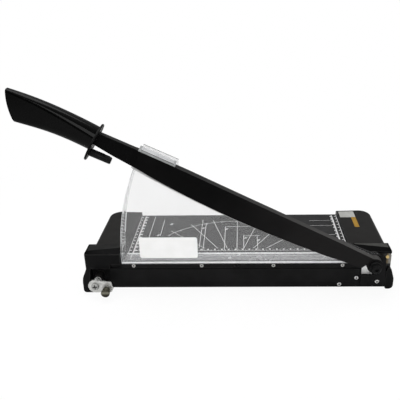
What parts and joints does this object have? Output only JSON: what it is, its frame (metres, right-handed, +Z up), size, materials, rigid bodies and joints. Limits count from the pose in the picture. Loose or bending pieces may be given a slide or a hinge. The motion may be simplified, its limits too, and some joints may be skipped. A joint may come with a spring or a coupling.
{
  "type": "lever card cutter",
  "caption": "Desk cutter for cards and sheets: ruled table with bed knife, hinged blade arm with grip, clear guard that clamps the sheet, and turning latch.",
  "frame": {"origin": "on the bench, below the centre of the whole machine's box with the arm raised", "axes": "+X along the cutting edge towards the hinge, +Y from the cutting edge across the table, +Z up"},
  "size_m": [0.4928, 0.1946, 0.2913],
  "materials": {
    "black_paint": "satin black powder paint",
    "black_cover_plastic": "black moulded plastic with a fine grain",
    "foot_rubber": "black rubber",
    "mat_plastic": "dark grey mat with pale printed lines",
    "knife_steel_dark": "blackened steel",
    "blade_steel": "ground steel",
    "screw_steel": "bright steel",
    "zinc_plate": "zinc plated steel",
    "bolt_black": "blackened steel",
    "bush_brass": "turned bearing brass",
    "grip_gloss_plastic": "glossy black plastic",
    "clear_guard": "clear moulded plastic",
    "guard_bush_plastic": "black bearing plastic",
    "label_white": "blank white label film",
    "amber_strip": "blank amber label film",
    "knob_nickel": "turned nickel plated steel"
  },
  "bodies": {
    "base": {"base_tray": "black_paint", "bottom_cover": "black_paint", "bottom_screws": "screw_steel", "rubber_feet": "foot_rubber", "cutting_mat": "mat_plastic", "bed_knife": "knife_steel_dark", "bed_knife_screws": "screw_steel", "apron_screws": "screw_steel", "left_end_cover": "black_cover_plastic", "right_end_cover": "black_cover_plastic", "cover_screws": "screw_steel", "cover_label": "label_white", "cover_strip": "amber_strip", "hinge_plate": "zinc_plate", "hinge_plate_screws": "screw_steel", "hinge_bracket": "black_paint", "bracket_screw": "screw_steel", "pivot_bolt": "bolt_black", "pivot_bush": "bush_brass", "pivot_washers": "zinc_plate", "pivot_nut": "zinc_plate", "friction_spring": "bolt_black", "latch_screw": "screw_steel", "latch_spring": "screw_steel"},
    "blade_arm": {"arm_casting": "black_paint", "moving_blade": "blade_steel", "blade_screws": "screw_steel", "handle_collar": "grip_gloss_plastic", "lock_peg": "black_paint", "handle_grip": "grip_gloss_plastic"},
    "guard": {"guard_wall": "clear_guard", "guard_bush": "guard_bush_plastic", "guard_foot": "clear_guard", "guard_grip": "clear_guard", "guard_label": "label_white"},
    "latch": {"latch_plate": "zinc_plate", "latch_knob": "knob_nickel", "latch_pin": "zinc_plate"}
  },
  "joints": [
    {"name": "arm_hinge", "type": "hinge", "parent": "base", "child": "blade_arm", "pos_m": [0.215, -0.0633, 0.0461], "axis": [0, 1, 0], "range_deg": [-26.4, 0]},
    {"name": "guard_lift", "type": "hinge", "parent": "base", "child": "guard", "pos_m": [0.215, -0.0633, 0.0461], "axis": [0, 1, 0], "range_deg": [0, 8]},
    {"name": "latch_turn", "type": "hinge", "parent": "base", "child": "latch", "pos_m": [-0.1671, -0.0633, 0.0185], "axis": [0, 1, 0], "range_deg": [-115, 0]}
  ]
}
